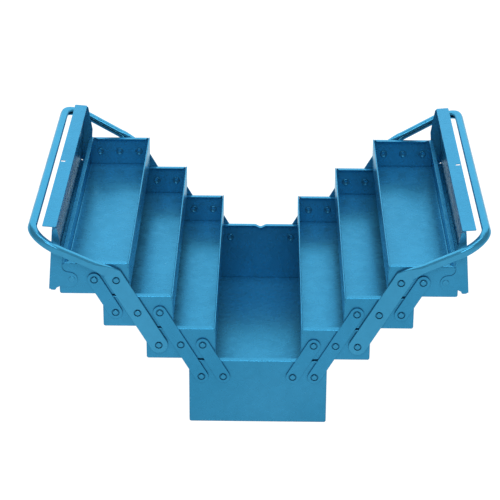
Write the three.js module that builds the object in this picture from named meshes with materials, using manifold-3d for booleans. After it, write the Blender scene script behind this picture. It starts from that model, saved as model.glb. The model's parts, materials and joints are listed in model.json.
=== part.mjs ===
// Cantilever toolbox of painted sheet steel, standing open: a deep base, three trays a side on
// riveted parallel links, a hinged lid on each top tray and two tubular carrying handles.
// Millimetres. +X runs across the box, +Y along it and +Z up; the origin is the middle of the
// underside. Side is +1 on the right (+X) and -1 on the left; end is -1 near (-Y) and +1 far.

import * as THREE from 'three';
import { mergeVertices } from 'three/addons/utils/BufferGeometryUtils.js';
import Module from 'manifold-3d';

const wasm = await Module();
wasm.setup();

// ---- Driving dimensions ----

const LENGTH = 500;          // base and trays, along Y
const BASE_WIDTH = 200;
const BASE_HEIGHT = 100;
const TRAY_WIDTH = 99.5;
const TRAY_HEIGHT = 47.5;
const TRAY_LEVELS = 3;

const SHEET = 1;             // sheet steel
const BEND = 3;              // outer radius of a fold
const GAP = 0.3;             // between parts that touch or turn on each other
const HEM_WIDTH = 2.2;       // inner tray wall, folded double along its rim
const HEM_DEPTH = 6;
const SIDE_LIP = 7;          // rim folded level along an outer wall
const END_LIP = 9;           // rim folded level along an end plate

const EDGE_TO_HOLE = 18;     // outer wall to the first rivet of a row
const RIM_TO_HOLE = 24.7;    // rim down to the rivet row
const HOLE_PITCH = 31.6;
const HOLE_RADIUS = 3.2;
const HEAD_RADIUS = 5.3;
const HEAD_HEIGHT = 3;
const PIVOT_HEAD_HEIGHT = 1.4;   // flatter heads at the lid pivots
const TAIL_RADIUS = 4.2;

const LINK_LENGTH = 59;      // from rivet to rivet
const LINK_THICK = 2.5;
const LINK_HALF_WIDTH = 9.6;
const OPEN_RUN = 29.6;       // how far an open link leans outwards

const HANDLE_HALF_WIDTH = 12.9;
const HANDLE_FLAT = 3;       // thickness of the flattened ends
const HANDLE_RISE = 18;      // last rivet to the bend
const LEG_LENGTH = 124;      // bend to crossbar
const TUBE_RADIUS = 7;
const TUBE_WALL = 1.2;
const TUBE_SLOT = 5;         // open seam of the rolled tube
const CORNER_RADIUS = 45;
const LEG_SPLAY = 9;         // how far the legs spread on their way to the crossbar

const LID_RISE = 32;         // pivot up to the top of the shut lid
const LID_OPENING = 85.5;    // degrees from shut
const LID_FLANGE = 16.5;     // depth of the end flanges
const LID_FLANGE_TIP = 7;     // their depth beside the meeting edge
const LID_FLANGE_TAPER = 40;  // how far from that edge they narrow
const LID_OUTER_FLANGE = 10;
const LID_EAR_RADIUS = 11;
const STRIP_INSET = 3.5;     // lock strip, in from the tray's inner wall
const STRIP_ABOVE = 14;      // lock strip over the lid
const STRIP_BELOW = 5.6;

// ---- Worked out from them ----

const END_FACE = LENGTH / 2;
const OPEN_RISE = Math.sqrt(LINK_LENGTH ** 2 - OPEN_RUN ** 2);
const OPEN_ANGLE = Math.asin(OPEN_RUN / LINK_LENGTH);
const SHUT_ANGLE = Math.asin(HOLE_PITCH / LINK_LENGTH);
const LEVEL_STEP = HOLE_PITCH + OPEN_RUN;
const ROW_HEIGHT = BASE_HEIGHT - RIM_TO_HOLE;
const FIRST_HOLE = BASE_WIDTH / 2 - EDGE_TO_HOLE;
const LINK_INNER = END_FACE + GAP + 0.2;
const LINK_OUTER = LINK_INNER + LINK_THICK;
const LID_INNER = END_FACE + GAP;
const LID_OUTER = LID_INNER + SHEET;
const HANDLE_INNER = LID_OUTER + GAP + 0.1;
const HANDLE_OUTER = HANDLE_INNER + HANDLE_FLAT;
const LEG_Y = HANDLE_INNER + 0.8 + TUBE_RADIUS;

const SIDES = [['left', -1], ['right', 1]];
const ENDS = [['near', -1], ['far', 1]];

// ---- Materials ----

const sheetEnamel = new THREE.MeshStandardMaterial({ color: 0x3f8db8, roughness: 0.38, metalness: 0.1 });
const linkEnamel = new THREE.MeshStandardMaterial({ color: 0x4191bc, roughness: 0.36, metalness: 0.1 });
const handleEnamel = new THREE.MeshStandardMaterial({ color: 0x4a9ac6, roughness: 0.3, metalness: 0.1 });
const rivetEnamel = new THREE.MeshStandardMaterial({ color: 0x3b86b0, roughness: 0.34, metalness: 0.15 });

// ---- Helpers ----

function toSolid(geometry) {
  const bare = geometry.clone();
  bare.deleteAttribute('normal');
  bare.deleteAttribute('uv');
  const merged = mergeVertices(bare, 1e-4);
  return new wasm.Manifold(new wasm.Mesh({
    numProp: 3,
    vertProperties: Float32Array.from(merged.attributes.position.array),
    triVerts: Uint32Array.from(merged.index.array),
  }));
}

function toGeometry(solid) {
  const mesh = solid.getMesh();
  const geometry = new THREE.BufferGeometry();
  geometry.setAttribute('position', new THREE.BufferAttribute(mesh.vertProperties, 3));
  geometry.setIndex(new THREE.BufferAttribute(mesh.triVerts, 1));
  geometry.computeVertexNormals();
  return geometry;
}

function join(pieces) {
  let solid = toSolid(pieces[0]);
  for (const piece of pieces.slice(1)) {
    solid = solid.add(toSolid(piece));
  }
  return toGeometry(solid);
}

function cut(body, tools) {
  let solid = toSolid(body);
  for (const tool of tools) {
    solid = solid.subtract(toSolid(tool));
  }
  return toGeometry(solid);
}

// Points along an arc, with angles in degrees.
function arc(x, z, radius, from, to, steps) {
  const points = [];
  for (let i = 0; i <= steps; i += 1) {
    const angle = THREE.MathUtils.degToRad(from + (to - from) * i / steps);
    points.push([x + radius * Math.cos(angle), z + radius * Math.sin(angle)]);
  }
  return points;
}

// A closed outline with round holes. It is given anticlockwise, and mirrored for the left side.
function outline(points, side = 1, holes = []) {
  const corners = points.map(([x, z]) => new THREE.Vector2(side * x, z));
  const shape = new THREE.Shape(side < 0 ? corners.reverse() : corners);
  for (const [x, z] of holes) {
    const hole = new THREE.Path();
    hole.absarc(side * x, z, HOLE_RADIUS, 0, 2 * Math.PI, true);
    shape.holes.push(hole);
  }
  return shape;
}

// An outline in X and Z, made solid between two values of Y.
function plate(shape, yLow, yHigh) {
  const options = { depth: yHigh - yLow, bevelEnabled: false, curveSegments: 4 };
  const geometry = new THREE.ExtrudeGeometry(shape, options);
  geometry.rotateX(Math.PI / 2);
  geometry.translate(0, yHigh, 0);
  return geometry;
}

// A plate that lies outside one end face, from one distance off the middle to another.
function endPlate(shape, end, inner, outer) {
  return end < 0 ? plate(shape, -outer, -inner) : plate(shape, inner, outer);
}

function box(xLow, xHigh, yLow, yHigh, zLow, zHigh) {
  const geometry = new THREE.BoxGeometry(xHigh - xLow, yHigh - yLow, zHigh - zLow);
  geometry.translate((xLow + xHigh) / 2, (yLow + yHigh) / 2, (zLow + zHigh) / 2);
  return geometry;
}

function named(name, geometry, material) {
  const mesh = new THREE.Mesh(geometry, material);
  mesh.name = name;
  return mesh;
}

// ---- Base and trays: a folded trough closed by two end plates ----

// Trough section. Rims are folded level inwards, or hemmed flat where hem is true.
function troughSection(xInner, xOuter, height, hem) {
  const inner = hem
    ? [[xInner + SHEET, height - HEM_DEPTH], [xInner + HEM_WIDTH, height - HEM_DEPTH],
      [xInner + HEM_WIDTH, height], [xInner, height]]
    : [[xInner + SHEET, height - SHEET], [xInner + SIDE_LIP, height - SHEET],
      [xInner + SIDE_LIP, height], [xInner, height]];
  return [
    ...arc(xInner + BEND, BEND, BEND, 180, 270, 3),
    ...arc(xOuter - BEND, BEND, BEND, 270, 360, 3),
    [xOuter, height],
    [xOuter - SIDE_LIP, height],
    [xOuter - SIDE_LIP, height - SHEET],
    [xOuter - SHEET, height - SHEET],
    ...arc(xOuter - BEND, BEND, BEND - SHEET, 360, 270, 3),
    ...arc(xInner + BEND, BEND, BEND - SHEET, 270, 180, 3),
    ...inner,
  ];
}

// End plate set between the trough's walls, with its top folded inwards into a mitred lip.
function endPanel(side, end, xInner, xOuter, height, innerRim, holes) {
  const low = SHEET + GAP;
  const left = xInner + SHEET + GAP;
  const right = xOuter - SHEET - GAP;
  const face = outline([
    ...arc(left + BEND, low + BEND, BEND, 180, 270, 3),
    ...arc(right - BEND, low + BEND, BEND, 270, 360, 3),
    [right, height - 2 * SHEET],
    [xOuter - SIDE_LIP - GAP, height - 2 * SHEET],
    [xOuter - SIDE_LIP - GAP, height],
    [xInner + innerRim + GAP, height],
    [xInner + innerRim + GAP, height - HEM_DEPTH - GAP],
    [left, height - HEM_DEPTH - GAP],
  ], side, holes);
  const lipLeft = xInner + innerRim + GAP;
  const lipRight = xOuter - SIDE_LIP - GAP;
  const lipShape = new THREE.Shape([
    [lipLeft, 0], [lipRight, 0], [lipRight - END_LIP, END_LIP], [lipLeft + END_LIP / 2, END_LIP],
  ].map(([x, y]) => new THREE.Vector2(side * x, -end * y)));
  const lip = new THREE.ExtrudeGeometry(lipShape, { depth: SHEET, bevelEnabled: false });
  lip.translate(0, end * END_FACE, height - SHEET);
  return join([endPlate(face, end, END_FACE - SHEET, END_FACE), lip]);
}

function rowHoles(xOuter, count, rowZ) {
  return Array.from({ length: count }, (_, i) => [xOuter - EDGE_TO_HOLE - i * HOLE_PITCH, rowZ]);
}

function base() {
  const group = new THREE.Group();
  const half = BASE_WIDTH / 2;
  const trough = plate(outline(troughSection(-half, half, BASE_HEIGHT, false)), -END_FACE, END_FACE);
  group.add(named('base_trough', trough, sheetEnamel));
  const rightHoles = rowHoles(half, 2, ROW_HEIGHT);
  const holes = [...rightHoles, ...rightHoles.map(([x, z]) => [-x, z])];
  for (const [endName, end] of ENDS) {
    let panel = endPanel(1, end, -half, half, BASE_HEIGHT, SIDE_LIP, holes);
    if (end > 0) {
      panel = cut(panel, [rimDip()]);
    }
    group.add(named(`base_${endName}_end_plate`, panel, sheetEnamel));
  }
  return group;
}

// Small V-shaped dip in the middle of the far rim.
function rimDip() {
  const dip = outline([[-10, BASE_HEIGHT + 1], [10, BASE_HEIGHT + 1], [0, BASE_HEIGHT - 5]]);
  return plate(dip, END_FACE - END_LIP - 1, END_FACE + 1);
}

// Tray with its outer wall at X = 0 in its own group, and the rest of it towards the middle.
function tray(sideName, side, level) {
  const group = new THREE.Group();
  const drop = TRAY_HEIGHT - RIM_TO_HOLE;
  group.position.set(
    side * (BASE_WIDTH / 2 + level * LEVEL_STEP), 0, ROW_HEIGHT + level * OPEN_RISE - drop);
  const section = troughSection(-TRAY_WIDTH, 0, TRAY_HEIGHT, true);
  const trough = plate(outline(section, side), -END_FACE, END_FACE);
  group.add(named(`${sideName}_tray_${level}_trough`, trough, sheetEnamel));
  const holes = rowHoles(0, 3, drop);
  for (const [endName, end] of ENDS) {
    const panel = endPanel(side, end, -TRAY_WIDTH, 0, TRAY_HEIGHT, HEM_WIDTH, holes);
    group.add(named(`${sideName}_tray_${level}_${endName}_end_plate`, panel, sheetEnamel));
  }
  return group;
}

// ---- Rivets ----

// Domed rivet through an end plate and what turns on it. Seat is where its head begins.
function rivetGeometry(end, seat, headRadius, headHeight) {
  const tail = END_FACE - SHEET - GAP;
  const shank = HOLE_RADIUS - GAP - 0.1;
  const profile = [
    [0, tail - 1.6], [TAIL_RADIUS, tail - 1.6], [TAIL_RADIUS, tail], [shank, tail], [shank, seat],
    [headRadius, seat], [headRadius * 0.75, seat + headHeight * 0.8], [0, seat + headHeight],
  ];
  const geometry = new THREE.LatheGeometry(profile.map(([r, y]) => new THREE.Vector2(r, y)), 8);
  if (end < 0) {
    geometry.rotateX(Math.PI);
  }
  return geometry;
}

function looseRivet(name, end, x, z, outer, headRadius, headHeight) {
  const rivet = named(name, rivetGeometry(end, outer + GAP, headRadius, headHeight), rivetEnamel);
  rivet.position.set(x, 0, z);
  return rivet;
}

// ---- Links ----

// Straight bar with its first rivet at the origin, rising along Z. The holes take loose rivets;
// the other rivets are clenched tight in the bar, and are one solid with it.
function linkBar(end, spans, looseAt) {
  const top = spans * LINK_LENGTH;
  const holes = looseAt.map((index) => [0, index * LINK_LENGTH]);
  const shape = outline([
    ...arc(0, 0, LINK_HALF_WIDTH, 180, 360, 8),
    ...arc(0, top, LINK_HALF_WIDTH, 0, 180, 8),
  ], 1, holes);
  const pieces = [endPlate(shape, end, LINK_INNER, LINK_OUTER)];
  for (let index = 0; index <= spans; index += 1) {
    if (!looseAt.includes(index)) {
      const rivet = rivetGeometry(end, LINK_OUTER - GAP, HEAD_RADIUS, HEAD_HEIGHT);
      rivet.translate(0, 0, index * LINK_LENGTH);
      pieces.push(rivet);
    }
  }
  return join(pieces);
}

// The rivet of a row, counted from the outer wall, at a level: 0 is the base.
function rowX(level, index) {
  return FIRST_HOLE + level * LEVEL_STEP - index * HOLE_PITCH;
}

function rowZ(level) {
  return ROW_HEIGHT + level * OPEN_RISE;
}

// Where each link starts, how many spans it crosses and which of its rivets are loose.
const LINKS = [
  { name: 'inner_link', level: 0, index: 1, spans: 1, looseAt: [0] },
  { name: 'long_link', level: 0, index: 0, spans: 2, looseAt: [0] },
  { name: 'outer_link', level: 2, index: 0, spans: 1, looseAt: [1] },
];

function links(sideName, side) {
  const group = new THREE.Group();
  for (const link of LINKS) {
    for (const [endName, end] of ENDS) {
      const geometry = linkBar(end, link.spans, link.looseAt);
      const mesh = named(`${sideName}_${endName}_${link.name}`, geometry, linkEnamel);
      mesh.position.set(side * rowX(link.level, link.index), 0, rowZ(link.level));
      mesh.rotation.y = side * OPEN_ANGLE;
      group.add(mesh);
    }
  }
  return group;
}

// ---- Handles ----

// Rolled tube with an open seam that faces the inside of the loop.
function tubeSection() {
  const seam = THREE.MathUtils.radToDeg(Math.asin(TUBE_SLOT / 2 / TUBE_RADIUS));
  return new THREE.Shape([
    ...arc(0, 0, TUBE_RADIUS, 90 + seam, 450 - seam, 8),
    ...arc(0, 0, TUBE_RADIUS - TUBE_WALL, 450 - seam, 90 + seam, 6),
  ].map(([x, y]) => new THREE.Vector2(x, y)));
}

// Leg, corner, crossbar, corner and leg, flat in X and Y, starting beside the near bend.
function loopPath(start) {
  const path = new THREE.CurvePath();
  const wide = LEG_Y + LEG_SPLAY;
  const turn = LEG_LENGTH - CORNER_RADIUS;
  const straight = wide - CORNER_RADIUS;
  const corner = (from, middle, to) => new THREE.QuadraticBezierCurve3(from, middle, to);
  const at = (x, y) => new THREE.Vector3(x, y, 0);
  path.add(new THREE.LineCurve3(at(start, -LEG_Y), at(turn, -wide)));
  path.add(corner(at(turn, -wide), at(LEG_LENGTH, -wide), at(LEG_LENGTH, -straight)));
  path.add(new THREE.LineCurve3(at(LEG_LENGTH, -straight), at(LEG_LENGTH, straight)));
  path.add(corner(at(LEG_LENGTH, straight), at(LEG_LENGTH, wide), at(turn, wide)));
  path.add(new THREE.LineCurve3(at(turn, wide), at(start, LEG_Y)));
  return path;
}

// Outline of a flattened end, with its lowest rivet at the origin.
function flatEndOutline(side) {
  const bend = 2 * LINK_LENGTH + HANDLE_RISE;
  const along = (s, offset) => [
    s * Math.sin(SHUT_ANGLE) + offset * Math.cos(SHUT_ANGLE),
    bend + s * Math.cos(SHUT_ANGLE) - offset * Math.sin(SHUT_ANGLE),
  ];
  return outline([
    ...arc(0, 0, HANDLE_HALF_WIDTH, 180, 360, 8),
    [HANDLE_HALF_WIDTH, bend - 11],
    along(20, TUBE_RADIUS),
    along(30, TUBE_RADIUS / 2),
    along(30, -TUBE_RADIUS / 2),
    along(2, -TUBE_RADIUS),
    [-HANDLE_HALF_WIDTH, bend - 11],
  ], side, [[0, 2 * LINK_LENGTH]]);
}

function handle(sideName, side) {
  const start = 12;
  const options = { steps: 40, bevelEnabled: false, extrudePath: loopPath(start) };
  const tube = new THREE.ExtrudeGeometry(tubeSection(), options);
  if (side < 0) {
    tube.rotateZ(Math.PI);
  }
  tube.rotateY(-side * (Math.PI / 2 - SHUT_ANGLE));
  tube.translate(0, 0, 2 * LINK_LENGTH + HANDLE_RISE);
  const pieces = [tube];
  for (const [, end] of ENDS) {
    pieces.push(endPlate(flatEndOutline(side), end, HANDLE_INNER, HANDLE_OUTER));
    for (const z of [0, LINK_LENGTH]) {
      const rivet = rivetGeometry(end, HANDLE_OUTER - GAP, HEAD_RADIUS, HEAD_HEIGHT);
      rivet.translate(0, 0, z);
      pieces.push(rivet);
    }
  }
  const mesh = named(`${sideName}_handle`, join(pieces), handleEnamel);
  mesh.position.set(side * rowX(1, 0), 0, rowZ(1));
  mesh.rotation.y = side * OPEN_ANGLE;
  return mesh;
}

// ---- Lids ----

// The lid is drawn shut, with its pivot at the origin and X outwards.
const LID_X_OUTER = EDGE_TO_HOLE + GAP + SHEET;
const STRIP_X = -(TRAY_WIDTH - EDGE_TO_HOLE - STRIP_INSET);
const LID_X_INNER = STRIP_X + SHEET + GAP;

function lidFlangeOutline(side) {
  const edge = LID_RISE - LID_FLANGE;
  return outline([
    [LID_X_INNER, LID_RISE],
    [LID_X_INNER, LID_RISE - LID_FLANGE_TIP],
    [LID_X_INNER + LID_FLANGE_TAPER, edge],
    ...arc(-LID_EAR_RADIUS - 10, edge - 10, 10, 90, 0, 4),
    ...arc(0, 0, LID_EAR_RADIUS, 180, 360, 9),
    [LID_EAR_RADIUS, LID_RISE - LID_OUTER_FLANGE],
    [LID_X_OUTER, LID_RISE - LID_OUTER_FLANGE],
    [LID_X_OUTER, LID_RISE],
  ], side, [[0, 0]]);
}

function lidShell(side) {
  const span = (a, b) => (side > 0 ? [a, b] : [-b, -a]);
  const top = LID_RISE;
  const inside = LID_INNER - GAP * 2;
  const pieces = [
    box(...span(LID_X_INNER, LID_X_OUTER), -LID_OUTER, LID_OUTER, top - SHEET, top),
    box(...span(LID_X_OUTER - SHEET, LID_X_OUTER), -LID_OUTER, LID_OUTER, top - LID_OUTER_FLANGE, top),
    box(...span(LID_X_INNER, LID_X_INNER + SHEET), -inside, inside, top - STRIP_BELOW, top),
  ];
  for (const [, end] of ENDS) {
    pieces.push(endPlate(lidFlangeOutline(side), end, LID_INNER, LID_OUTER));
  }
  return join(pieces);
}

// Strip along the meeting edge, with a slot for a padlock in the half that stands proud.
function lockStrip(side) {
  const reach = END_FACE - SHEET;
  const strip = box(-SHEET / 2, SHEET / 2, -reach, reach, LID_RISE - STRIP_BELOW, LID_RISE + STRIP_ABOVE);
  const slotMiddle = LID_RISE + STRIP_ABOVE - 5;
  const slot = box(-SHEET, SHEET, -4.5, 4.5, slotMiddle - 3.2, slotMiddle + 3.2);
  const geometry = cut(strip, [slot]);
  geometry.translate(side * (STRIP_X + SHEET / 2), 0, 0);
  return geometry;
}

function lid(sideName, side) {
  const group = new THREE.Group();
  group.position.set(side * rowX(TRAY_LEVELS, 0), 0, rowZ(TRAY_LEVELS));
  group.rotation.y = side * THREE.MathUtils.degToRad(LID_OPENING);
  group.add(named(`${sideName}_lid`, lidShell(side), sheetEnamel));
  group.add(named(`${sideName}_lid_lock_strip`, lockStrip(side), sheetEnamel));
  return group;
}

// ---- Rivets that are pieces of their own: at the base, the top tray and the lid pivots ----

function looseRivets(sideName, side) {
  const group = new THREE.Group();
  for (const [endName, end] of ENDS) {
    const prefix = `${sideName}_${endName}`;
    const add = (name, level, index, outer, radius, height) => group.add(looseRivet(
      `${prefix}_${name}`, end, side * rowX(level, index), rowZ(level), outer, radius, height));
    add('base_outer_rivet', 0, 0, LINK_OUTER, HEAD_RADIUS, HEAD_HEIGHT);
    add('base_inner_rivet', 0, 1, LINK_OUTER, HEAD_RADIUS, HEAD_HEIGHT);
    add('top_tray_middle_rivet', TRAY_LEVELS, 1, LINK_OUTER, HEAD_RADIUS, HEAD_HEIGHT);
    add('top_tray_inner_rivet', TRAY_LEVELS, 2, HANDLE_OUTER, HEAD_RADIUS, HEAD_HEIGHT);
    add('lid_pivot_rivet', TRAY_LEVELS, 0, LID_OUTER, HEAD_RADIUS, PIVOT_HEAD_HEIGHT);
  }
  return group;
}

// ---- Assembly ----

const toolbox = new THREE.Group();
toolbox.add(base());
for (const [sideName, side] of SIDES) {
  for (let level = 1; level <= TRAY_LEVELS; level += 1) {
    toolbox.add(tray(sideName, side, level));
  }
  toolbox.add(links(sideName, side));
  toolbox.add(handle(sideName, side));
  toolbox.add(lid(sideName, side));
  toolbox.add(looseRivets(sideName, side));
}

export default toolbox;
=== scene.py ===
import json
import math

import bmesh
import bpy
from mathutils import Matrix, Quaternion, Vector


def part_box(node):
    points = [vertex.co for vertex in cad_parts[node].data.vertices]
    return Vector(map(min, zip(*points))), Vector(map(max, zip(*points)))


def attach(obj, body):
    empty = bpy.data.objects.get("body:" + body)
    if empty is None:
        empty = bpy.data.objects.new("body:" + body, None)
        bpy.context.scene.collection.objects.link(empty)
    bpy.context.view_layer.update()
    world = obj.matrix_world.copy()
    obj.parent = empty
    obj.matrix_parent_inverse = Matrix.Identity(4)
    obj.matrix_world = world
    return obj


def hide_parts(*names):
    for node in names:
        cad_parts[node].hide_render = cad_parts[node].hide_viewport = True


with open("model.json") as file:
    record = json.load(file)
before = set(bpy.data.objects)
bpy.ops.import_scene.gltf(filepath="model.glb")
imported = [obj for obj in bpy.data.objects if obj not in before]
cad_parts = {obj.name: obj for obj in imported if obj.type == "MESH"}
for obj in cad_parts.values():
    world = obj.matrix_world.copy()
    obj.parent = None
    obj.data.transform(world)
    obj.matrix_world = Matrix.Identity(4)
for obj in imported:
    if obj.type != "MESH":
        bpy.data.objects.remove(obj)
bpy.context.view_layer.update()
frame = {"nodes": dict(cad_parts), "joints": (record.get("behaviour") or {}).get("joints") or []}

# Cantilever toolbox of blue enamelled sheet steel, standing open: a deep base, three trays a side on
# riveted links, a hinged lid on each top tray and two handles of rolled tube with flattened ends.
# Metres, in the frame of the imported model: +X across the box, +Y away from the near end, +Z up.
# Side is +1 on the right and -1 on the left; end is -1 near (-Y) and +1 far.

MM = 0.001

# ---- Sizes that the frame doesn't give ----

SHEET = 1.0 * MM            # sheet steel
GAP = 0.3 * MM              # between sheets that pass each other
FLOOR_BEND = 3.0 * MM       # outer radius between a wall and a floor
RIM_BEND = 1.7 * MM         # outer radius of a rim folded level
HEM_WIDTH = 2.2 * MM        # inner tray wall, folded double along its rim
HEM_DEPTH = 6.0 * MM
SIDE_LIP = 7.0 * MM         # rim folded level along a long wall
END_LIP = 9.0 * MM          # rim folded level along an end plate
DIP_HALF_WIDTH = 10 * MM    # dent in the middle of the base's far rim
DIP_DEPTH = 4.0 * MM

LINK_STANDOFF = 0.5 * MM    # from the end face to a link's inner face
LINK_THICK = 2.5 * MM
LINK_HALF_WIDTH = 9.6 * MM
HANDLE_STANDOFF = 1.7 * MM
HANDLE_FLAT = 3.0 * MM
HANDLE_HALF_WIDTH = 12.9 * MM
HANDLE_RISE = 18.0 * MM     # last rivet to the bend
LEG_LENGTH = 124.0 * MM     # bend to the middle of the crossbar
LEG_OFFSET = 9.5 * MM       # tube's middle outside the end face, beside the bend
LEG_SPLAY = 9.0 * MM        # how far it moves out on its way to the crossbar
TUBE_RADIUS = 6.0 * MM
TUBE_WALL = 1.2 * MM
LEG_ROOM = 6.6 * MM         # from a leg's middle to the other handle's side, when both are shut
SEAM_HALF = 2.4 * MM        # half of the open seam
ROUND_POWER = 3.4           # how square the tube's section is: 2 would be a circle
FLAT_POWER = 6.0            # the same for the flattened ends
CORNER_RADIUS = 41.0 * MM   # leg to crossbar
BEND_RADIUS = 26.0 * MM     # flat end to leg

LID_RISE = 32.0 * MM        # pivot up to the top of the shut lid
LID_OUTER = 19.3 * MM       # pivot out to the outer flange
LID_INNER = 76.7 * MM       # pivot in to the turned-down inner edge
LID_FLANGE = 16.5 * MM
LID_FLANGE_TIP = 7.0 * MM   # its depth beside the meeting edge
LID_FLANGE_TAPER = 40 * MM
LID_OUTER_FLANGE = 10.0 * MM
LID_INNER_FLANGE = 5.6 * MM
LID_BEND = 1.6 * MM         # outer radius of the lid's folds
STRIP_ABOVE = 14.0 * MM
EAR_RADIUS = 11.4 * MM
EAR_CENTRE = (1.2 * MM, 3.5 * MM)
EAR_FILLET = 9.5 * MM
LID_RELIEF = 1.2 * MM       # notches where the lid's folds meet
STRIP_CORNER = 2.0 * MM
SLOT_DEPTH = 5.0 * MM       # strip's free edge to the middle of the padlock slot
SLOT_HALF_WIDTH = 2.9 * MM
SLOT_HALF_HEIGHT = 3.4 * MM
SLOT_CORNER = 1.2 * MM

RECESS_RADIUS = 5.7 * MM    # pressed ring round each rivet head
RECESS_DEPTH = 1.5 * MM
HOLE_RADIUS = 2.9 * MM
SHANK_RADIUS = 2.6 * MM
HEAD_CLEARANCE = 0.05 * MM  # between a head and the bottom of its ring

SIDES = (("left", -1), ("right", 1))
ENDS = (("near", -1), ("far", 1))
LEVELS = (1, 2, 3)

# ---- Places, from the frame ----

JOINTS = {joint["name"]: joint for joint in frame["joints"]}
END_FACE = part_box("base_far_end_plate")[1].y


def joint_place(name):
    x, _, z = JOINTS[name]["pos_m"]
    return Vector((x, 0, z))


FIRST_HOLE = joint_place("right_trays")
HOLE_PITCH = FIRST_HOLE.x - joint_place("right_inner_links_swing").x
LEVEL_STEP = joint_place("right_tray_1_level") + Vector((HOLE_PITCH, 0, 0)) - FIRST_HOLE


def pivot(side, level, index):
    """The rivet of a row, counted from the outer wall, at a level: 0 is the base."""
    place = FIRST_HOLE + level * LEVEL_STEP - Vector((index * HOLE_PITCH, 0, 0))
    return Vector((side * place.x, 0, place.z))


LINK_LENGTH = (pivot(1, 1, 1) - pivot(1, 0, 0)).length
SHUT_ANGLE = math.asin(HOLE_PITCH / LINK_LENGTH)
LID_OPENING = math.radians(JOINTS["right_lid_hinge"]["range_deg"][1])

# ---- Camera, light and floor ----

CAMERA_PLACE = Vector((0.0133, -2.766, 1.4082))
CAMERA_PITCH = math.radians(24.226)
CAMERA_YAW = math.radians(-0.588)
CAMERA_ROLL = math.radians(0.326)
CAMERA_LENS = 140.72


def make_camera():
    data = bpy.data.cameras.new("camera")
    data.lens = CAMERA_LENS
    data.sensor_width = 36
    camera = bpy.data.objects.new("camera", data)
    bpy.context.scene.collection.objects.link(camera)
    forward = Vector((
        math.sin(CAMERA_YAW) * math.cos(CAMERA_PITCH),
        math.cos(CAMERA_YAW) * math.cos(CAMERA_PITCH),
        -math.sin(CAMERA_PITCH),
    ))
    level = forward.to_track_quat("-Z", "Y")
    turn = level @ Quaternion((0, 0, 1), CAMERA_ROLL)
    camera.matrix_world = Matrix.LocRotScale(CAMERA_PLACE, turn, None)
    bpy.context.scene.camera = camera


def make_area_light(name, place, target, size, power):
    data = bpy.data.lights.new(name, "AREA")
    data.shape = "RECTANGLE"
    data.size, data.size_y = size
    data.energy = power
    lamp = bpy.data.objects.new(name, data)
    bpy.context.scene.collection.objects.link(lamp)
    turn = (Vector(target) - Vector(place)).to_track_quat("-Z", "Y")
    lamp.matrix_world = Matrix.LocRotScale(Vector(place), turn, None)


# Each softbox's place, what it faces, its size and its power in watts.
SOFTBOXES = {
    "overhead_softbox": ((0, 0.2, 2.8), (0, 0, 0.1), (2.0, 1.4), 36),
    "back_softbox": ((0, 3.2, 2.0), (0, 0, 0.2), (6.0, 3.4), 92),
    "front_softbox": ((0, -2.6, 2.4), (0, 0, 0.2), (2.6, 1.4), 62),
}
WORLD_LIGHT = 0.32
FLOOR_REACH = 14
FLOOR_DROP = 0.4 * MM       # keeps the floor off the underside of the base


def make_studio():
    world = bpy.data.worlds.new("studio")
    world.use_nodes = True
    background = world.node_tree.nodes["Background"]
    background.inputs["Color"].default_value = (1, 1, 1, 1)
    background.inputs["Strength"].default_value = WORLD_LIGHT
    scene = bpy.context.scene
    scene.world = world
    scene.view_settings.view_transform = "Standard"
    for name, (place, target, size, power) in SOFTBOXES.items():
        make_area_light(name, place, target, size, power)


def make_floor():
    bm = bmesh.new()
    bmesh.ops.create_grid(bm, x_segments=4, y_segments=4, size=FLOOR_REACH)
    mesh = bpy.data.meshes.new("studio_floor")
    bm.to_mesh(mesh)
    bm.free()
    floor = bpy.data.objects.new("studio_floor", mesh)
    floor.location.z = -FLOOR_DROP
    bpy.context.scene.collection.objects.link(floor)
    material = bpy.data.materials.new("pale_floor")
    material.use_nodes = True
    shader = material.node_tree.nodes["Principled BSDF"]
    shader.inputs["Base Color"].default_value = (0.1, 0.1, 0.1, 1)
    shader.inputs["Roughness"].default_value = 0.9
    shader.inputs["Specular IOR Level"].default_value = 0.1
    shader.inputs["Emission Color"].default_value = (1, 1, 1, 1)
    shader.inputs["Emission Strength"].default_value = 1.0
    mesh.materials.append(material)


# ---- Materials ----


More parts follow.
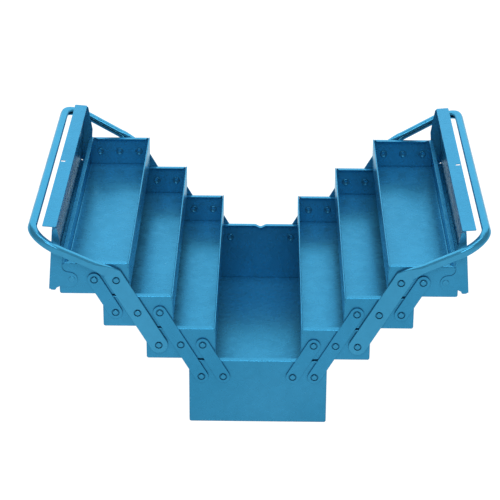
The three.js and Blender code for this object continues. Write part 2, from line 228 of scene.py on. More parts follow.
class Shader:
    """A node material whose nodes are added and joined in short lines."""

    def __init__(self, name):
        self.material = bpy.data.materials.new(name)
        self.material.use_nodes = True
        self.tree = self.material.node_tree
        self.surface = self.tree.nodes["Principled BSDF"]
        self.place = self.node("ShaderNodeTexCoord").outputs["Object"]

    def node(self, kind, values=None, **settings):
        made = self.tree.nodes.new(kind)
        for name, value in settings.items():
            setattr(made, name, value)
        for name, value in (values or {}).items():
            self.feed(made.inputs[name], value)
        return made

    def feed(self, socket, value):
        if isinstance(value, bpy.types.NodeSocket):
            self.tree.links.new(value, socket)
        else:
            socket.default_value = value

    def noise(self, scale, detail=3.0, roughness=0.5):
        values = {"Vector": self.place, "Scale": scale, "Detail": detail, "Roughness": roughness}
        return self.node("ShaderNodeTexNoise", values).outputs["Fac"]

    def spread(self, value, low, high, to_low=0.0, to_high=1.0):
        """Value from low to high, stretched to run from to_low to to_high, and held there outside."""
        values = {
            "Value": value, "From Min": low, "From Max": high, "To Min": to_low, "To Max": to_high,
        }
        return self.node("ShaderNodeMapRange", values).outputs["Result"]

    def combine(self, operation, first, second):
        made = self.node("ShaderNodeMath", operation=operation)
        self.feed(made.inputs[0], first)
        self.feed(made.inputs[1], second)
        return made.outputs[0]

    def blend(self, share, first, second, blend_type="MIX"):
        made = self.node("ShaderNodeMix", data_type="RGBA", blend_type=blend_type)
        self.feed(made.inputs["Factor"], share)
        self.feed(made.inputs["A"], first)
        self.feed(made.inputs["B"], second)
        return made.outputs["Result"]

    def edges(self, width):
        """1 along convex and hollow edges and 0 on flat sheet."""
        rounded = self.node("ShaderNodeBevel", {"Radius": width}, samples=6).outputs["Normal"]
        flat = self.node("ShaderNodeNewGeometry").outputs["True Normal"]
        dot = self.node("ShaderNodeVectorMath", operation="DOT_PRODUCT")
        self.feed(dot.inputs[0], rounded)
        self.feed(dot.inputs[1], flat)
        return self.spread(dot.outputs["Value"], 0.96, 0.74)

    def painted_crevice_shade(self, reach):
        """Mask of painted shade from ambient occlusion: 1 in tight corners and under overlapping plates,
        where shade falls, and 0 in the open.
        """
        occlusion = self.node("ShaderNodeAmbientOcclusion", {"Distance": reach}, samples=12)
        return self.spread(occlusion.outputs["AO"], 0.8, 0.3)

    def bump(self, height, distance, strength, under=None):
        values = {"Height": height, "Distance": distance, "Strength": strength}
        if under is not None:
            values["Normal"] = under
        return self.node("ShaderNodeBump", values).outputs["Normal"]


# Paler blue along the edges: partly thin worn paint, partly a painted highlight.
THIN_PAINT_AND_HIGHLIGHT = (0.09, 0.40, 0.66, 1)
BARE_STEEL = (0.20, 0.27, 0.31, 1)
# Painted shade: the deep navy laid into corners, recesses and gaps where shade falls.
PAINTED_CREVICE_SHADE = (0.002, 0.035, 0.10, 1)
PALE_SPECK = (0.45, 0.68, 0.82, 1)
EDGE_WIDTH = 0.4 * MM       # of the lighter line along an edge: partly worn paint, partly a painted highlight
PAINTED_SHADE_REACH = 3.2 * MM
METALLIC_SHARE = 0.58
GLOSS_IOR = 1.3
GLOSS_TINT = (0.25, 0.78, 1.0, 1)


def enamel_specks(s):
    """1 in small round specks, one in about a fifth of the cells."""
    cells = s.node("ShaderNodeTexVoronoi", {"Vector": s.place, "Scale": 42.0, "Randomness": 1.0})
    picked = s.node("ShaderNodeSeparateColor", {"Color": cells.outputs["Color"]}).outputs["Red"]
    dot = s.spread(cells.outputs["Distance"], 0.03, 0.018)
    return s.combine("MULTIPLY", dot, s.spread(picked, 0.80, 0.82))


def enamel_color(s, deep, light, edge, chips):
    """Slow drift and fine mottle, then thin paint with a painted highlight and chips on edges, painted
    shade in crevices and specks.
    """
    drift = s.spread(s.noise(7.0, 3.0), 0.3, 0.7)
    mottle = s.spread(s.noise(110.0, 4.0, 0.6), 0.35, 0.65, 0.965, 1.03)
    color = s.blend(1.0, s.blend(drift, deep, light), mottle, "MULTIPLY")
    patches = s.spread(s.noise(45.0, 4.0, 0.6), 0.38, 0.62, 0.25, 1.0)
    worn_and_highlit = s.combine("MULTIPLY", edge, patches)
    # Edges lighten to a paler blue: partly worn paint, partly a painted highlight.
    color = s.blend(s.combine("MULTIPLY", worn_and_highlit, 0.55), color, THIN_PAINT_AND_HIGHLIGHT)
    color = s.blend(chips, color, BARE_STEEL)
    # Painted shade: the colour turns deep navy where ambient occlusion finds corners, recesses and
    # overlaps.
    painted_crevice_shade = s.painted_crevice_shade(PAINTED_SHADE_REACH)
    color = s.blend(s.combine("MULTIPLY", painted_crevice_shade, 0.8), color, PAINTED_CREVICE_SHADE)
    return s.blend(s.combine("MULTIPLY", enamel_specks(s), 0.6), color, PALE_SPECK)


def enamel_normal(s, chips):
    """Slow waves in the sheet, orange peel, and chips pressed in."""
    wave = s.bump(s.noise(12.0, 1.0), 0.8 * MM, 0.22)
    peel = s.bump(s.noise(620.0, 2.0), 0.04 * MM, 0.25, wave)
    return s.bump(s.combine("MULTIPLY", chips, -1.0), 0.1 * MM, 0.4, peel)


def enamel(name, deep, light, roughness, wear):
    """Sprayed blue enamel. More wear gives more chips along the edges."""
    s = Shader(name)
    edge = s.edges(EDGE_WIDTH)
    chip_noise = s.spread(s.noise(420.0, 2.0, 0.7), 0.70 - wear, 0.74 - wear)
    chips = s.combine("MULTIPLY", s.spread(edge, 0.5, 0.9), chip_noise)
    s.feed(s.surface.inputs["Base Color"], enamel_color(s, deep, light, edge, chips))
    gloss = s.spread(s.noise(60.0, 3.0), 0.3, 0.7, roughness - 0.04, roughness + 0.05)
    gloss = s.combine("ADD", gloss, s.combine("MULTIPLY", chips, 0.15))
    s.feed(s.surface.inputs["Roughness"], gloss)
    s.surface.inputs["Metallic"].default_value = METALLIC_SHARE
    s.surface.inputs["IOR"].default_value = GLOSS_IOR
    s.surface.inputs["Specular Tint"].default_value = GLOSS_TINT
    s.feed(s.surface.inputs["Normal"], enamel_normal(s, chips))
    return s.material


# Each slot's deep and light blue, roughness and wear.
ENAMELS = {
    "sheet_enamel": ((0.026, 0.202, 0.368, 1), (0.034, 0.228, 0.410, 1), 0.27, 0.00),
    "link_enamel": ((0.026, 0.204, 0.372, 1), (0.034, 0.230, 0.414, 1), 0.28, 0.02),
    "handle_enamel": ((0.036, 0.232, 0.404, 1), (0.044, 0.258, 0.444, 1), 0.21, 0.03),
    "rivet_enamel": ((0.030, 0.212, 0.378, 1), (0.038, 0.238, 0.418, 1), 0.26, 0.03),
}
MATERIALS = {name: enamel(name, *values) for name, values in ENAMELS.items()}

# ---- Making pieces ----

FOLD_STEPS = 6              # strips in a fold
TROUGH_STEPS = 20           # lengths of a trough's walls


def mix(first, second, share):
    return first + (second - first) * share


def smooth(value, low, high):
    share = min(max((value - low) / (high - low), 0.0), 1.0)
    return share * share * (3 - 2 * share)


def make_piece(name, bm, slot, body, nodes=(), thickness=0.0, edge=0.22 * MM, segments=2, sharp=34):
    """A riding piece from a bmesh: an open sheet gets its thickness, and sharp edges are rounded."""
    bmesh.ops.recalc_face_normals(bm, faces=bm.faces)
    mesh = bpy.data.meshes.new(name)
    bm.to_mesh(mesh)
    bm.free()
    mesh.shade_smooth()
    piece = bpy.data.objects.new(name, mesh)
    bpy.context.scene.collection.objects.link(piece)
    mesh.materials.append(MATERIALS[slot])
    if thickness:
        solid = piece.modifiers.new("sheet", "SOLIDIFY")
        solid.thickness = thickness
        solid.offset = 0
        solid.use_even_offset = True
    bevel = piece.modifiers.new("edges", "BEVEL")
    bevel.width = edge
    bevel.segments = segments
    bevel.limit_method = "ANGLE"
    bevel.angle_limit = math.radians(sharp)
    normals = piece.modifiers.new("normals", "WEIGHTED_NORMAL")
    normals.keep_sharp = True
    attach(piece, body)
    if nodes:
        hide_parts(*nodes)


def arc(x, z, radius, start, stop, steps):
    """Points along an arc, with angles in degrees."""
    angles = [math.radians(start + (stop - start) * i / steps) for i in range(steps + 1)]
    return [(x + radius * math.cos(angle), z + radius * math.sin(angle)) for angle in angles]


def rounded_outline(left, right, low, high, corner, steps):
    """A rectangle with rounded corners."""
    return [
        *arc(right - corner, low + corner, corner, 270, 360, steps),
        *arc(right - corner, high - corner, corner, 0, 90, steps),
        *arc(left + corner, high - corner, corner, 90, 180, steps),
        *arc(left + corner, low + corner, corner, 180, 270, steps),
    ]


def blank(outline, holes=()):
    """A flat sheet in X and Y, filled inside its outline and outside its holes."""
    bm = bmesh.new()
    edges = []
    for loop in (outline, *holes):
        verts = [bm.verts.new((x, y, 0)) for x, y in loop]
        edges += [bm.edges.new(pair) for pair in zip(verts, verts[1:] + verts[:1])]
    bmesh.ops.triangle_fill(bm, use_beauty=True, use_dissolve=False, edges=edges)
    return bm


def score(bm, axis, places):
    """Cuts a blank along lines across an axis, so that it can bend there."""
    direction = Vector((1, 0, 0)) if axis == 0 else Vector((0, 1, 0))
    for place in places:
        geometry = bm.verts[:] + bm.edges[:] + bm.faces[:]
        cut = {"plane_co": direction * place, "plane_no": direction, "dist": 1e-7}
        bmesh.ops.bisect_plane(bm, geom=geometry, **cut)


def fold_lines(start, radius):
    """Where a sheet is scored for a square fold that begins at start."""
    return [start + radius * math.pi / 2 * i / FOLD_STEPS for i in range(FOLD_STEPS + 1)]


def fold(distance, start, radius):
    """How far along and how far out a point of the sheet lies, past a square fold from start on."""
    turned = min(max((distance - start) / radius, 0.0), math.pi / 2)
    past = max(distance - start - radius * math.pi / 2, 0.0)
    along = min(distance, start) + radius * math.sin(turned)
    out = radius * (1 - math.cos(turned)) + past
    return along, out


def extrude_profile(points, y_low, y_high):
    """An open profile in X and Z, run along Y."""
    bm = bmesh.new()
    rows = []
    for i in range(TROUGH_STEPS + 1):
        y = mix(y_low, y_high, i / TROUGH_STEPS)
        rows.append([bm.verts.new((x, y, z)) for x, z in points])
    for first, second in zip(rows, rows[1:]):
        for a, b, c, d in zip(first, first[1:], second[1:], second):
            bm.faces.new((a, b, c, d))
    return bm


def lathe(profile, segments=32):
    """A closed solid turned about Y, from a profile of radius and Y that starts and ends on the axis."""
    bm = bmesh.new()
    rings = []
    for radius, y in profile:
        if radius < 1e-7:
            rings.append([bm.verts.new((0, y, 0))])
            continue
        turns = [2 * math.pi * i / segments for i in range(segments)]
        rings.append([bm.verts.new((radius * math.cos(t), y, radius * math.sin(t))) for t in turns])
    for low, high in zip(rings, rings[1:]):
        for i in range(segments):
            j = (i + 1) % segments
            corners = [low[i % len(low)], low[j % len(low)], high[j % len(high)], high[i % len(high)]]
            bm.faces.new(list(dict.fromkeys(corners)))
    return bm


def moved(bm, place, end):
    """A shape drawn for the far end, put in place and mirrored for the near end."""
    mirror = Matrix.Diagonal((1, end, 1, 1))
    bmesh.ops.transform(bm, matrix=Matrix.Translation(place) @ mirror, verts=bm.verts)
    return bm


def solid_plate(outline, y_low, y_high):
    """A plate with its outline in X and Z, between two values of Y."""
    bm = blank(outline)
    face_map = bmesh.ops.extrude_face_region(bm, geom=bm.faces[:])
    top = [item for item in face_map["geom"] if isinstance(item, bmesh.types.BMVert)]
    for vert in top:
        vert.co.z = 1
    for vert in bm.verts:
        x, z, far = vert.co
        vert.co = (x, y_high if far else y_low, z)
    return bm


def joined(shapes):
    """One bmesh that holds all the shapes."""
    whole = bmesh.new()
    for shape in shapes:
        mesh = bpy.data.meshes.new("shape")
        bmesh.ops.recalc_face_normals(shape, faces=shape.faces)
        shape.to_mesh(mesh)
        shape.free()
        whole.from_mesh(mesh)
        bpy.data.meshes.remove(mesh)
    return whole


def carve(bm, cutters):
    """The bmesh with the cutters' solids taken away."""
    whole = joined(cutters)
    objects = []
    for shape in (bm, whole):
        bmesh.ops.recalc_face_normals(shape, faces=shape.faces)
        mesh = bpy.data.meshes.new("carving")
        shape.to_mesh(mesh)
        shape.free()
        made = bpy.data.objects.new("carving", mesh)
        bpy.context.scene.collection.objects.link(made)
        objects.append(made)
    body, tool = objects
    modifier = body.modifiers.new("carve", "BOOLEAN")
    modifier.operation = "DIFFERENCE"
    modifier.solver = "EXACT"
    modifier.object = tool
    carved = body.evaluated_get(bpy.context.evaluated_depsgraph_get()).to_mesh()
    result = bmesh.new()
    result.from_mesh(carved)
    for made in objects:
        mesh = made.data
        bpy.data.objects.remove(made)
        bpy.data.meshes.remove(mesh)
    return result


# ---- Base and trays ----


def level_rim(x, top, inward):
    """Profile of a rim folded level towards inward (-1 or 1), from the wall to its edge."""
    radius = RIM_BEND - SHEET / 2
    middle_x = x + inward * RIM_BEND
    start, stop = (0, 90) if inward < 0 else (180, 90)
    rim = arc(middle_x, top - RIM_BEND, radius, start, stop, FOLD_STEPS)
    return rim + [(x + inward * SIDE_LIP, top - SHEET / 2)]


def hemmed_rim(x, top):
    """Profile of an inner wall's rim, folded down flat inside the tray, from its edge to the wall."""
    radius = (HEM_WIDTH - SHEET) / 2
    middle = x + HEM_WIDTH / 2
    edge = (middle + radius, top - HEM_DEPTH)
    return [edge] + arc(middle, top - HEM_WIDTH / 2, radius, 0, 180, 8)


def trough_profile(x_inner, x_outer, bottom, top, hemmed):
    """Middle of the sheet across a trough, from its inner rim over the floor to its outer rim."""
    radius = FLOOR_BEND - SHEET / 2
    inner = hemmed_rim(x_inner, top) if hemmed else level_rim(x_inner, top, 1)[::-1]
    return [
        *inner,
        *arc(x_inner + FLOOR_BEND, bottom + FLOOR_BEND, radius, 180, 270, FOLD_STEPS),
        *arc(x_outer - FLOOR_BEND, bottom + FLOOR_BEND, radius, 270, 360, FOLD_STEPS),
        *level_rim(x_outer, top, -1),
    ]


def trough_sides(node, side):
    """X of a trough's inner and outer wall, as on the right."""
    low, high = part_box(node)
    return (low.x, high.x) if side > 0 else (-high.x, -low.x)


def make_trough(node, body, side, hemmed):
    low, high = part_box(node)
    x_inner, x_outer = trough_sides(node, side)
    profile = trough_profile(x_inner, x_outer, low.z, high.z, hemmed)
    bm = extrude_profile([(side * x, z) for x, z in profile], low.y, high.y)
    make_piece(f"{node}_folded", bm, "sheet_enamel", body, [node], thickness=SHEET)


def end_plate_outline(x_inner, x_outer, low, high, hemmed):
    """An end plate's blank: between the walls, with a lip that clears their rims once it is folded."""
    left, right = x_inner + SHEET, x_outer - SHEET
    lip_left = x_inner + (HEM_WIDTH if hemmed else SIDE_LIP) + GAP
    lip_right = x_outer - SIDE_LIP - GAP
    bottom = low + SHEET
    corner = FLOOR_BEND - SHEET
    lip_start = high - RIM_BEND + (RIM_BEND - SHEET / 2) * math.pi / 2
    lip_width = END_LIP - RIM_BEND
    mitre_left = lip_width * (0.5 if hemmed else 1.0)
    under_rim = high - 2 * SHEET
    under_hem = high - (HEM_DEPTH + GAP)
    shoulder = under_hem if hemmed else under_rim
    return [
        *arc(left + corner, bottom + corner, corner, 180, 270, FOLD_STEPS),
        *arc(right - corner, bottom + corner, corner, 270, 360, FOLD_STEPS),
        (right, under_rim),
        (lip_right, under_rim),
        (lip_right, lip_start),
        (lip_right - lip_width, lip_start + lip_width),
        (lip_left + mitre_left, lip_start + lip_width),
        (lip_left, lip_start),
        (lip_left, shoulder),
        (left, shoulder),
    ]


def make_end_plate(node, body, side, end, trough, hemmed, dip=0.0):
    """A plate between the trough's walls with its top folded inwards, dented by dip midway."""
    low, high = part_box(trough)
    x_inner, x_outer = trough_sides(trough, side)
    bm = blank(end_plate_outline(x_inner, x_outer, low.z, high.z, hemmed))
    radius = RIM_BEND - SHEET / 2
    bend = high.z - RIM_BEND
    score(bm, 1, fold_lines(bend, radius))
    middle = (x_inner + x_outer) / 2
    if dip:
        score(bm, 1, [bend - DIP_HALF_WIDTH * i / 4 for i in range(1, 5)])
        score(bm, 0, [middle + DIP_HALF_WIDTH * i / 6 for i in range(-6, 7)])
    for vert in bm.verts:
        z, inward = fold(vert.co.y, bend, radius)
        share = max(0.0, 1 - abs(vert.co.x - middle) / DIP_HALF_WIDTH)
        z -= dip * smooth(share, 0, 1) * smooth(z, bend - DIP_HALF_WIDTH, bend)
        vert.co = (side * vert.co.x, end * (END_FACE - SHEET / 2 - inward), z)
    make_piece(f"{node}_folded", bm, "sheet_enamel", body, [node], thickness=SHEET)


def make_base():
    make_trough("base_trough", "base", 1, False)
    for end_name, end in ENDS:
        dip = DIP_DEPTH if end > 0 else 0.0
        make_end_plate(f"base_{end_name}_end_plate", "base", 1, end, "base_trough", False, dip)


def make_trays(side_name, side):
    for level in LEVELS:
        body = f"{side_name}_tray_{level}"
        make_trough(f"{body}_trough", body, side, True)
        for end_name, end in ENDS:
            make_end_plate(f"{body}_{end_name}_end_plate", body, side, end, f"{body}_trough", True)


# ---- Links ----

# Each link's lowest rivet (level and index) and the spans it crosses.
LINKS = {"inner_link": (0, 1, 1), "long_link": (0, 0, 2), "outer_link": (2, 0, 1)}


def recess(outer, place, end):
    """Cutter for a rivet's hole and the ring round its head, in a face outer away from the end face."""
    start = END_FACE - 1 * MM
    floor = END_FACE + outer - RECESS_DEPTH
    slant = 0.5 * MM
    stop = floor + 3 * MM
    profile = [
        (0, start),
        (HOLE_RADIUS, start),
        (HOLE_RADIUS, floor),
        (RECESS_RADIUS - slant, floor),
        (RECESS_RADIUS, floor + slant),
        (RECESS_RADIUS, stop),
        (0, stop),
    ]
    return moved(lathe(profile), place, end)


def link_outline(start, stop):
    run = stop - start
    lean = math.degrees(math.atan2(run.z, run.x))
    return [
        *arc(start.x, start.z, LINK_HALF_WIDTH, lean + 90, lean + 270, 24),
        *arc(stop.x, stop.z, LINK_HALF_WIDTH, lean - 90, lean + 90, 24),
    ]


def make_links(side_name, side):
    for link, (level, index, spans) in LINKS.items():
        start = pivot(side, level, index)
        stop = pivot(side, level + spans, index + spans)
        places = [mix(start, stop, i / spans) for i in range(spans + 1)]
        outline = link_outline(start, stop)
        for end_name, end in ENDS:
            inner = end * (END_FACE + LINK_STANDOFF)
            outer = end * (END_FACE + LINK_STANDOFF + LINK_THICK)
            bm = solid_plate(outline, min(inner, outer), max(inner, outer))
            bm = carve(bm, [recess(LINK_STANDOFF + LINK_THICK, place, end) for place in places])
            node = f"{side_name}_{end_name}_{link}"
            body = f"{side_name}_{link}s"
            rounding = {"edge": 0.45 * MM, "segments": 3}
            make_piece(f"{node}_bar", bm, "link_enamel", body, [node], **rounding)


# ---- Handles ----


TIP_STEPS = 12
STRAIGHT_STEPS = 27
BEND_STEPS = 8
LEG_STEPS = 24
CORNER_STEPS = 16
CROSSBAR_STEPS = 12
SECTION_STEPS = 48
LEAVE_BEFORE = 14 * MM      # the tube moves away from the end face round the bend
LEAVE_AFTER = 22 * MM
ROUND_BEFORE = 10 * MM      # and its section turns from flat to round
ROUND_AFTER = 26 * MM


class HandleLine:
    """
    Middle line of a handle. A station of it is a place, the normal in the plane of the links on the
    side of the other handle, and the distance along the line from the lowest rivet.
    """

    def __init__(self, side):
        bottom, top = pivot(side, 1, 0), pivot(side, 3, 2)
        self.side = side
        self.bottom = bottom
        self.rise = (top - bottom).normalized()
        self.across = Vector((-side * self.rise.z, 0, side * self.rise.x))
        self.leg = self.turn(1) @ self.rise
        self.leg_across = self.turn(1) @ self.across
        self.bend = (top - bottom).length + HANDLE_RISE
        self.corner = bottom + self.rise * self.bend
        self.tangent = BEND_RADIUS * math.tan(SHUT_ANGLE / 2)
        self.straight = self.bend - self.tangent
        self.leg_stop = LEG_LENGTH - CORNER_RADIUS

    def turn(self, share):
        """A share of the turn from the flat end to the leg."""
        return Quaternion((0, 1, 0), self.side * SHUT_ANGLE * share)

    def flat_end(self):
        """Stations from the rounded tip below the lowest rivet up to the bend."""
        tip = [-HANDLE_HALF_WIDTH * math.cos(math.pi / 2 * i / TIP_STEPS) for i in range(TIP_STEPS)]
        rest = [self.straight * i / STRAIGHT_STEPS for i in range(STRAIGHT_STEPS)]
        return [(self.bottom + self.rise * run, self.across, run) for run in tip + rest]

    def round_bend(self):
        centre = self.bottom + self.rise * self.straight - self.across * BEND_RADIUS
        stations = []
        for i in range(BEND_STEPS + 1):
            share = i / BEND_STEPS
            normal = self.turn(share) @ self.across
            run = self.straight + BEND_RADIUS * SHUT_ANGLE * share
            stations.append((centre + normal * BEND_RADIUS, normal, run))
        return stations

    def up_leg(self):
        past_bend = self.straight + BEND_RADIUS * SHUT_ANGLE
        stations = []
        for i in range(1, LEG_STEPS + 1):
            along = mix(self.tangent, self.leg_stop, i / LEG_STEPS)
            run = past_bend + along - self.tangent
            stations.append((self.corner + self.leg * along, self.leg_across, run))
        return stations

    def distance_out(self, run):
        """From the end face to the line: little on the flat end, and more along the leg."""
        flat = HANDLE_STANDOFF + HANDLE_FLAT / 2
        share = smooth(run, self.bend - LEAVE_BEFORE, self.bend + LEAVE_AFTER)
        return mix(flat, LEG_OFFSET, share) + LEG_SPLAY * max(0.0, (run - self.bend) / self.leg_stop)

    def near_half(self):
        """Stations from the near tip to the middle of the crossbar."""
        stations = []
        for place, normal, run in self.flat_end() + self.round_bend() + self.up_leg():
            y = END_FACE + self.distance_out(run)
            stations.append((Vector((place.x, -y, place.z)), normal, run))
        last, normal, start = stations[-1]
        for i in range(1, CORNER_STEPS + 1):
            angle = math.pi / 2 * i / CORNER_STEPS
            place = self.corner + self.leg * (self.leg_stop + CORNER_RADIUS * math.sin(angle))
            y = last.y + CORNER_RADIUS * (1 - math.cos(angle))
            stations.append((Vector((place.x, y, place.z)), normal, start + CORNER_RADIUS * angle))
        last, normal, start = stations[-1]
        for i in range(1, CROSSBAR_STEPS + 1):
            y = mix(last.y, 0.0, i / CROSSBAR_STEPS)
            stations.append((Vector((last.x, y, last.z)), normal, start + y - last.y))
        return stations

    def whole(self):
        near = self.near_half()
        far = [(Vector((place.x, -place.y, place.z)), normal, run) for place, normal, run in near[-2::-1]]
        return near + far

    def room(self, place, normal):
        """How wide the handle can be here without reaching the other one, when both are shut."""
        return (LEG_ROOM - (place - self.corner).dot(self.leg_across)) / normal.dot(self.leg_across)


def tube_section(flat, width_share, seam):
    """
    Outer and inner line of the tube's section, as distances along the normal and outwards, from the
    share it is flattened, the share of its width that the rounded tip leaves and half of the seam.
    """
    half_width = mix(TUBE_RADIUS, HANDLE_HALF_WIDTH, flat) * width_share
    half_depth = mix(TUBE_RADIUS, HANDLE_FLAT / 2, flat) * mix(1.0, min(1.0, 0.3 + width_share), flat)
    power = mix(ROUND_POWER, FLAT_POWER, flat)
    opening = math.asin(min(0.9, seam / half_width) ** (power / 2))
    lines = []
    for wall in (0.0, TUBE_WALL):
        line = []
        width, depth = max(half_width - wall, 0.1 * MM), max(half_depth - wall, 0.1 * MM)
        for i in range(SECTION_STEPS + 1):
            angle = mix(opening, 2 * math.pi - opening, i / SECTION_STEPS)
            s, c = math.sin(angle), math.cos(angle)
            across = math.copysign(abs(s) ** (2 / power), s) * width
            outwards = -math.copysign(abs(c) ** (2 / power), c) * depth
            line.append((across, outwards))
        lines.append(line)
    return lines[0] + lines[1][::-1]


def handle_row(line, place, normal, run, tangent):
    """Corners of the handle's section at a station."""
    outwards = line.side * tangent.cross(normal).normalized()
    flat = 1 - smooth(run, line.bend - ROUND_BEFORE, line.bend + ROUND_AFTER)
    past_rivet = min(max(-run / HANDLE_HALF_WIDTH, 0.0), 0.995)
    width_share = math.sqrt(1 - past_rivet ** 2)
    seam = mix(SEAM_HALF, 0.25 * MM, smooth(flat, 0.0, 0.7))
    section = tube_section(flat, width_share, seam)
    narrowed = min(1.0, line.room(place, normal) / max(a for a, _ in section))
    row = [(a * narrowed if a > 0 else a, b) for a, b in section]
    return [place + normal * a + outwards * b for a, b in row]


def make_handle(side_name, side):
    line = HandleLine(side)
    stations = line.whole()
    places = [place for place, _, _ in stations]
    bm = bmesh.new()
    rows = []
    for i, (place, normal, run) in enumerate(stations):
        before, after = places[max(i - 1, 0)], places[min(i + 1, len(places) - 1)]
        corners = handle_row(line, place, normal, run, (after - before).normalized())
        rows.append([bm.verts.new(corner) for corner in corners])
    for first, second in zip(rows, rows[1:]):
        for k in range(len(first)):
            m = (k + 1) % len(first)
            bm.faces.new((first[k], first[m], second[m], second[k]))
    bm.faces.new(rows[0])
    bm.faces.new(rows[-1])
    outer = HANDLE_STANDOFF + HANDLE_FLAT
    cutters = []
    for _, end in ENDS:
        for level in LEVELS:
            cutters.append(recess(outer, pivot(side, level, level - 1), end))
    bm = carve(bm, cutters)
    node = f"{side_name}_handle"
    make_piece(f"{node}_tube", bm, "handle_enamel", node, [node], edge=0.3 * MM, sharp=40)


# ---- Lids ----


def lid_end_flange():
    """End flange below the fold, from its outer side to its inner side, with the pivot ear."""
    edge = LID_RISE - LID_FLANGE
    ear_x, ear_z = EAR_CENTRE
    outer_edge = LID_RISE - LID_OUTER_FLANGE
    return [
        (LID_OUTER - 0.2 * MM, LID_RISE - 3.5 * MM),
        (LID_OUTER - 0.2 * MM, outer_edge + 1.5 * MM),
        (LID_OUTER - 1.7 * MM, outer_edge),
        (ear_x + EAR_RADIUS + 3.0 * MM, outer_edge - 0.5 * MM),
        (ear_x + EAR_RADIUS, outer_edge - 5.5 * MM),
        *arc(ear_x, ear_z, EAR_RADIUS, 0, -180, 24),
        *arc(ear_x - EAR_RADIUS - EAR_FILLET, edge - EAR_FILLET, EAR_FILLET, 0, 90, 10),
        (-LID_INNER + LID_FLANGE_TAPER, edge),
        *arc(-LID_INNER + 4 * MM, LID_RISE - LID_FLANGE_TIP + 2.2 * MM, 3 * MM, 255, 100, 6),
    ]


def end_flange_blank(end_bend, outer_bend, inner_bend, outer_edge, inner_edge):
    """The far part of a lid's blank: relief notches at both corners and the end flange, unfolded."""
    fold_length = (LID_BEND - SHEET / 2) * math.pi / 2
    past_fold = end_bend + fold_length + LID_RISE - LID_BEND
    return [
        (outer_edge, end_bend - LID_RELIEF),
        (outer_bend + LID_RELIEF, end_bend - LID_RELIEF),
        (outer_bend - LID_RELIEF / 2, end_bend + LID_RELIEF),
        *[(x, past_fold - z) for x, z in lid_end_flange()],
        (-inner_bend + 4 * MM, end_bend + LID_RELIEF),
        (-inner_bend + LID_RELIEF, end_bend + LID_RELIEF),
        (-inner_bend - LID_RELIEF / 2, end_bend - LID_RELIEF),
        (-inner_edge, end_bend - LID_RELIEF),
    ]


def opened(side, shut):
    """A point of the right lid, drawn shut round its pivot, where it is on a side's open lid."""
    turned = Matrix.Rotation(LID_OPENING, 4, "Y") @ Vector(shut)
    return pivot(side, 3, 0) + Vector((side * turned.x, turned.y, turned.z))


def make_lid(side_name, side):
    """The lid's blank, folded down on all four sides. It is drawn shut and stands open."""
    radius = LID_BEND - SHEET / 2
    quarter = radius * math.pi / 2
    end_bend = END_FACE + GAP + SHEET - LID_BEND
    outer_bend = LID_OUTER - LID_BEND
    inner_bend = LID_INNER - LID_BEND
    outer_edge = outer_bend + quarter + LID_OUTER_FLANGE - LID_BEND
    inner_edge = inner_bend + quarter + LID_INNER_FLANGE - LID_BEND
    far = end_flange_blank(end_bend, outer_bend, inner_bend, outer_edge, inner_edge)
    near = [(x, -y) for x, y in far[::-1]]
    bm = blank(far + near)
    for place in fold_lines(end_bend, radius):
        score(bm, 1, [place, -place])
    score(bm, 0, fold_lines(outer_bend, radius))
    score(bm, 0, [-place for place in fold_lines(inner_bend, radius)])
    for vert in bm.verts:
        x, y, _ = vert.co
        along, down = fold(abs(y), end_bend, radius)
        y = math.copysign(along, y)
        if down == 0:
            along, down = fold(abs(x), outer_bend if x > 0 else inner_bend, radius)
            x = math.copysign(along, x)
        vert.co = opened(side, (x, y, LID_RISE - SHEET / 2 - down))
    node = f"{side_name}_lid"
    make_piece(f"{node}_folded", bm, "sheet_enamel", node, [node], thickness=SHEET)


def make_lock_strip(side_name, side):
    """Strip along the meeting edge, with a padlock slot in the half that stands proud."""
    reach = END_FACE - SHEET
    low, high = LID_RISE - LID_INNER_FLANGE, LID_RISE + STRIP_ABOVE
    outline = rounded_outline(-reach, reach, low, high, STRIP_CORNER, 5)
    middle = high - SLOT_DEPTH
    top, bottom = middle + SLOT_HALF_HEIGHT, middle - SLOT_HALF_HEIGHT
    slot = rounded_outline(-SLOT_HALF_WIDTH, SLOT_HALF_WIDTH, bottom, top, SLOT_CORNER, 4)
    bm = blank(outline, [slot])
    inner_face = -(LID_INNER + GAP + SHEET / 2)
    for vert in bm.verts:
        vert.co = opened(side, (inner_face, vert.co.x, vert.co.y))
    node = f"{side_name}_lid_lock_strip"
    make_piece(f"{node}_sheet", bm, "sheet_enamel", f"{side_name}_lid", [node], thickness=SHEET)


# ---- Rivets ----

# What each rivet goes through besides the end plate, by level and index, and its name.
RIVETS = {
    (0, 0): ("long_links", "base_outer"),
    (0, 1): ("inner_links", "base_inner"),
    (1, 0): ("handle", "tray_1_outer"),
    (1, 1): ("long_links", "tray_1_middle"),
    (1, 2): ("inner_links", "tray_1_inner"),
    (2, 0): ("outer_links", "tray_2_outer"),
    (2, 1): ("handle", "tray_2_middle"),
    (2, 2): ("long_links", "tray_2_inner"),
    (3, 0): ("lid", "lid_pivot"),
    (3, 1): ("outer_links", "top_tray_middle"),
    (3, 2): ("handle", "top_tray_inner"),
}


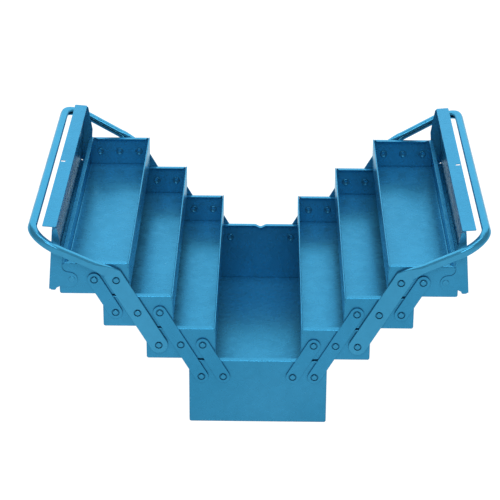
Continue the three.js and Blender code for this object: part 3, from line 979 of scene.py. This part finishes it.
# Profiles in millimetres of radius and height: the ring clenched inside the end plate, from its
# middle, and the heads, from their rims.
CLENCHED_RING = [
    (0.0, -0.1), (3.0, -0.1), (3.5, -0.6), (4.0, -1.6), (4.6, -2.0), (5.2, -1.9), (5.7, -1.3), (5.9, 0.0),
]
SUNK_HEAD = [
    (3.9, 0.0), (3.95, 1.5), (3.8, 2.1), (3.4, 2.45), (2.8, 2.55), (2.0, 2.45), (1.2, 2.2), (0.0, 2.1),
]
LOW_HEAD = [(4.5, 0.0), (4.5, 0.35), (4.2, 0.75), (3.6, 0.95), (2.2, 1.0), (1.5, 0.8), (0.0, 0.7)]


def rivet_profile(held):
    """Radius and Y of a rivet from the ring clenched inside the end plate to its head."""
    inside = END_FACE - SHEET
    if held == "lid":
        seat, head = END_FACE + GAP + SHEET, LOW_HEAD
    else:
        thick = HANDLE_STANDOFF + HANDLE_FLAT if held == "handle" else LINK_STANDOFF + LINK_THICK
        seat, head = END_FACE + thick - RECESS_DEPTH + HEAD_CLEARANCE, SUNK_HEAD
    return [
        *[(radius * MM, inside + y * MM) for radius, y in CLENCHED_RING],
        (SHANK_RADIUS, inside),
        (SHANK_RADIUS, seat),
        *[(radius * MM, seat + y * MM) for radius, y in head],
    ]


def make_rivets(side_name, side):
    for end_name, end in ENDS:
        for (level, index), (held, label) in RIVETS.items():
            node = f"{side_name}_{end_name}_{label}_rivet"
            loose = node in frame["nodes"]
            body = f"{side_name}_{held}"
            if loose:
                body = "base" if level == 0 else f"{side_name}_tray_3"
            bm = moved(lathe(rivet_profile(held)), pivot(side, level, index), end)
            nodes = [node] if loose else []
            rounding = {"edge": 0.08 * MM, "sharp": 50}
            make_piece(f"{node}_clenched", bm, "rivet_enamel", body, nodes, **rounding)


# ---- Assembly ----

make_camera()
make_studio()
make_floor()
make_base()
for side_name, side in SIDES:
    make_trays(side_name, side)
    make_links(side_name, side)
    make_handle(side_name, side)
    make_lid(side_name, side)
    make_lock_strip(side_name, side)
    make_rivets(side_name, side)
